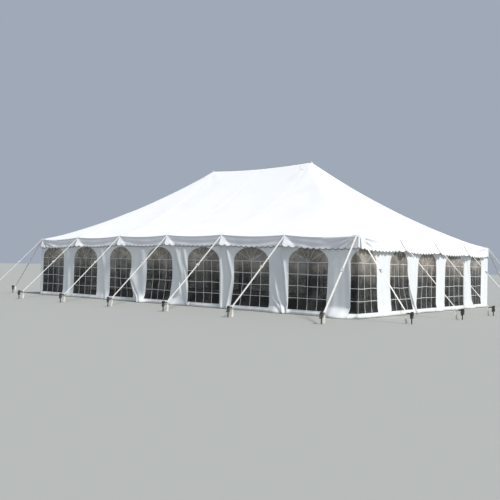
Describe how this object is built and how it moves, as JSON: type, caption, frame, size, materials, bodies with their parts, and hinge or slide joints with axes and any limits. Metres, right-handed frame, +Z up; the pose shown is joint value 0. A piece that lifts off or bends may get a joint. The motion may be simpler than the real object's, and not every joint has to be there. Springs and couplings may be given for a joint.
{
  "type": "marquee tent",
  "caption": "White pole marquee with a hipped cloth roof on two centre poles, side poles, scalloped valance, walls with arched windows, and webbing guys to stakes.",
  "frame": {"origin": "on the ground, in the middle of the plan", "axes": "+X along the long side, to the right seen from the front; +Y from front to back; +Z up"},
  "size_m": [18.9566, 15.0366, 5.3702],
  "materials": {
    "canopy_cloth": "white coated cloth, satin",
    "wall_cloth": "white coated cloth, satin",
    "window_sheet": "clear flexible sheet with white bars",
    "pole_metal": "dull, lightly scratched",
    "webbing": "woven ivory webbing",
    "stake_steel": "dark forged steel"
  },
  "bodies": {
    "root": {"canopy": "canopy_cloth", "front_valance": "canopy_cloth", "right_valance": "canopy_cloth", "back_valance": "canopy_cloth", "left_valance": "canopy_cloth", "front_wall": "wall_cloth", "right_wall": "wall_cloth", "back_wall": "wall_cloth", "left_wall": "wall_cloth", "front_glazing": "window_sheet", "right_glazing": "window_sheet", "back_glazing": "window_sheet", "left_glazing": "window_sheet", "centre_pole_left": "pole_metal", "centre_pole_right": "pole_metal", "side_pole_front_1": "pole_metal", "side_pole_front_2": "pole_metal", "side_pole_front_3": "pole_metal", "side_pole_front_4": "pole_metal", "side_pole_front_5": "pole_metal", "side_pole_front_6": "pole_metal", "side_pole_front_7": "pole_metal", "side_pole_back_1": "pole_metal", "side_pole_back_2": "pole_metal", "side_pole_back_3": "pole_metal", "side_pole_back_4": "pole_metal", "side_pole_back_5": "pole_metal", "side_pole_back_6": "pole_metal", "side_pole_back_7": "pole_metal", "side_pole_right_1": "pole_metal", "side_pole_right_2": "pole_metal", "side_pole_right_3": "pole_metal", "side_pole_left_1": "pole_metal", "side_pole_left_2": "pole_metal", "side_pole_left_3": "pole_metal", "guy_front_1": "webbing", "guy_front_2": "webbing", "guy_front_3": "webbing", "guy_front_4": "webbing", "guy_front_5": "webbing", "guy_front_6": "webbing", "guy_front_7": "webbing", "guy_back_1": "webbing", "guy_back_2": "webbing", "guy_back_3": "webbing", "guy_back_4": "webbing", "guy_back_5": "webbing", "guy_back_6": "webbing", "guy_back_7": "webbing", "guy_right_1": "webbing", "guy_right_2": "webbing", "guy_right_3": "webbing", "guy_right_4": "webbing", "guy_right_5": "webbing", "guy_left_1": "webbing", "guy_left_2": "webbing", "guy_left_3": "webbing", "guy_left_4": "webbing", "guy_left_5": "webbing"}
  },
  "joints": []
}
